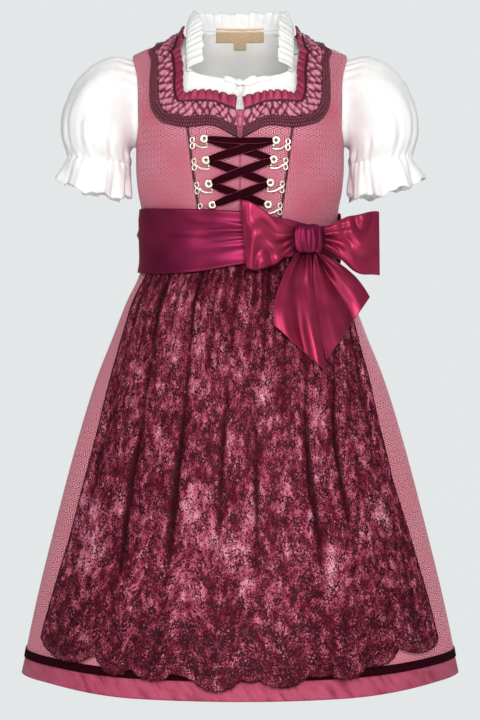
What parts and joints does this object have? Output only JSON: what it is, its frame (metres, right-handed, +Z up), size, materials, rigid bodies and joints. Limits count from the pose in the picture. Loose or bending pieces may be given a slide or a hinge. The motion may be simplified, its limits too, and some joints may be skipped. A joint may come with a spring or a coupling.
{
  "type": "dirndl set",
  "caption": "Child's dirndl: jacquard dress with laced bodice, white puff-sleeve blouse, lace apron and satin sash tied in a bow.",
  "frame": {"origin": "between the two shoulder straps at their neck ends, where the wearer's shoulders carry the dress", "axes": "+Z up, the front of the dress towards -Y, +X to the right as seen from the front"},
  "size_m": [0.524, 0.4225, 0.8006],
  "materials": {
    "rose_jacquard": "woven jacquard with a slight sheen",
    "raspberry_taffeta": "taffeta",
    "dark_velvet": "velvet",
    "burgundy_lace": "corded lace",
    "raspberry_satin": "satin",
    "satin_frill": "satin",
    "rose_ruching": "folded taffeta",
    "burgundy_braid": "braided cord",
    "white_cotton": "matt cotton",
    "silver_metal": "pale antique plating",
    "rose_zip": "lacquered",
    "zip_tape": "woven tape",
    "pearl_button": "pearl gloss",
    "beige_label": "woven"
  },
  "bodies": {
    "garment": {"bodice_front_left": "rose_jacquard", "bodice_front_right": "rose_jacquard", "bodice_side_front_left": "rose_jacquard", "bodice_side_front_right": "rose_jacquard", "bodice_side_back_left": "rose_jacquard", "bodice_side_back_right": "rose_jacquard", "bodice_back": "rose_jacquard", "piping_left": "burgundy_braid", "piping_right": "burgundy_braid", "neck_ruffle_left": "satin_frill", "neck_ruffle_right": "satin_frill", "ruching_left": "rose_ruching", "ruching_right": "rose_ruching", "braid_left": "burgundy_braid", "braid_right": "burgundy_braid", "sleeve_left": "white_cotton", "sleeve_right": "white_cotton", "blouse_front_left": "white_cotton", "blouse_front_right": "white_cotton", "blouse_back": "white_cotton", "blouse_frill": "white_cotton", "blouse_tie": "white_cotton", "blouse_button": "pearl_button", "neck_label": "beige_label", "size_tab": "beige_label", "skirt_front": "rose_jacquard", "skirt_back": "rose_jacquard", "hem_band_front": "raspberry_taffeta", "hem_band_back": "raspberry_taffeta", "velvet_hem_front": "dark_velvet", "velvet_hem_back": "dark_velvet", "apron": "burgundy_lace", "sash_left": "raspberry_satin", "sash_right": "raspberry_satin", "sash_back": "raspberry_satin", "bow_loop_left": "raspberry_satin", "bow_loop_right": "raspberry_satin", "bow_knot": "raspberry_satin", "bow_tail_left": "raspberry_satin", "bow_tail_right": "raspberry_satin", "hook_left_1": "silver_metal", "hook_left_2": "silver_metal", "hook_left_3": "silver_metal", "hook_left_4": "silver_metal", "hook_right_1": "silver_metal", "hook_right_2": "silver_metal", "hook_right_3": "silver_metal", "hook_right_4": "silver_metal", "lacing_top": "dark_velvet", "lacing_under_1": "dark_velvet", "lacing_under_2": "dark_velvet", "lacing_under_3": "dark_velvet", "lacing_over_1": "dark_velvet", "lacing_over_2": "dark_velvet", "lacing_over_3": "dark_velvet", "zip_strip": "zip_tape", "zip_slider": "rose_zip"},
    "pull_tab": {"zip_pull": "rose_zip"}
  },
  "joints": [
    {"name": "zip_pull_swing", "type": "hinge", "parent": "garment", "child": "pull_tab", "pos_m": [0, -0.0904, -0.116], "axis": [-1, 0, 0], "range_deg": [0, 150]}
  ]
}
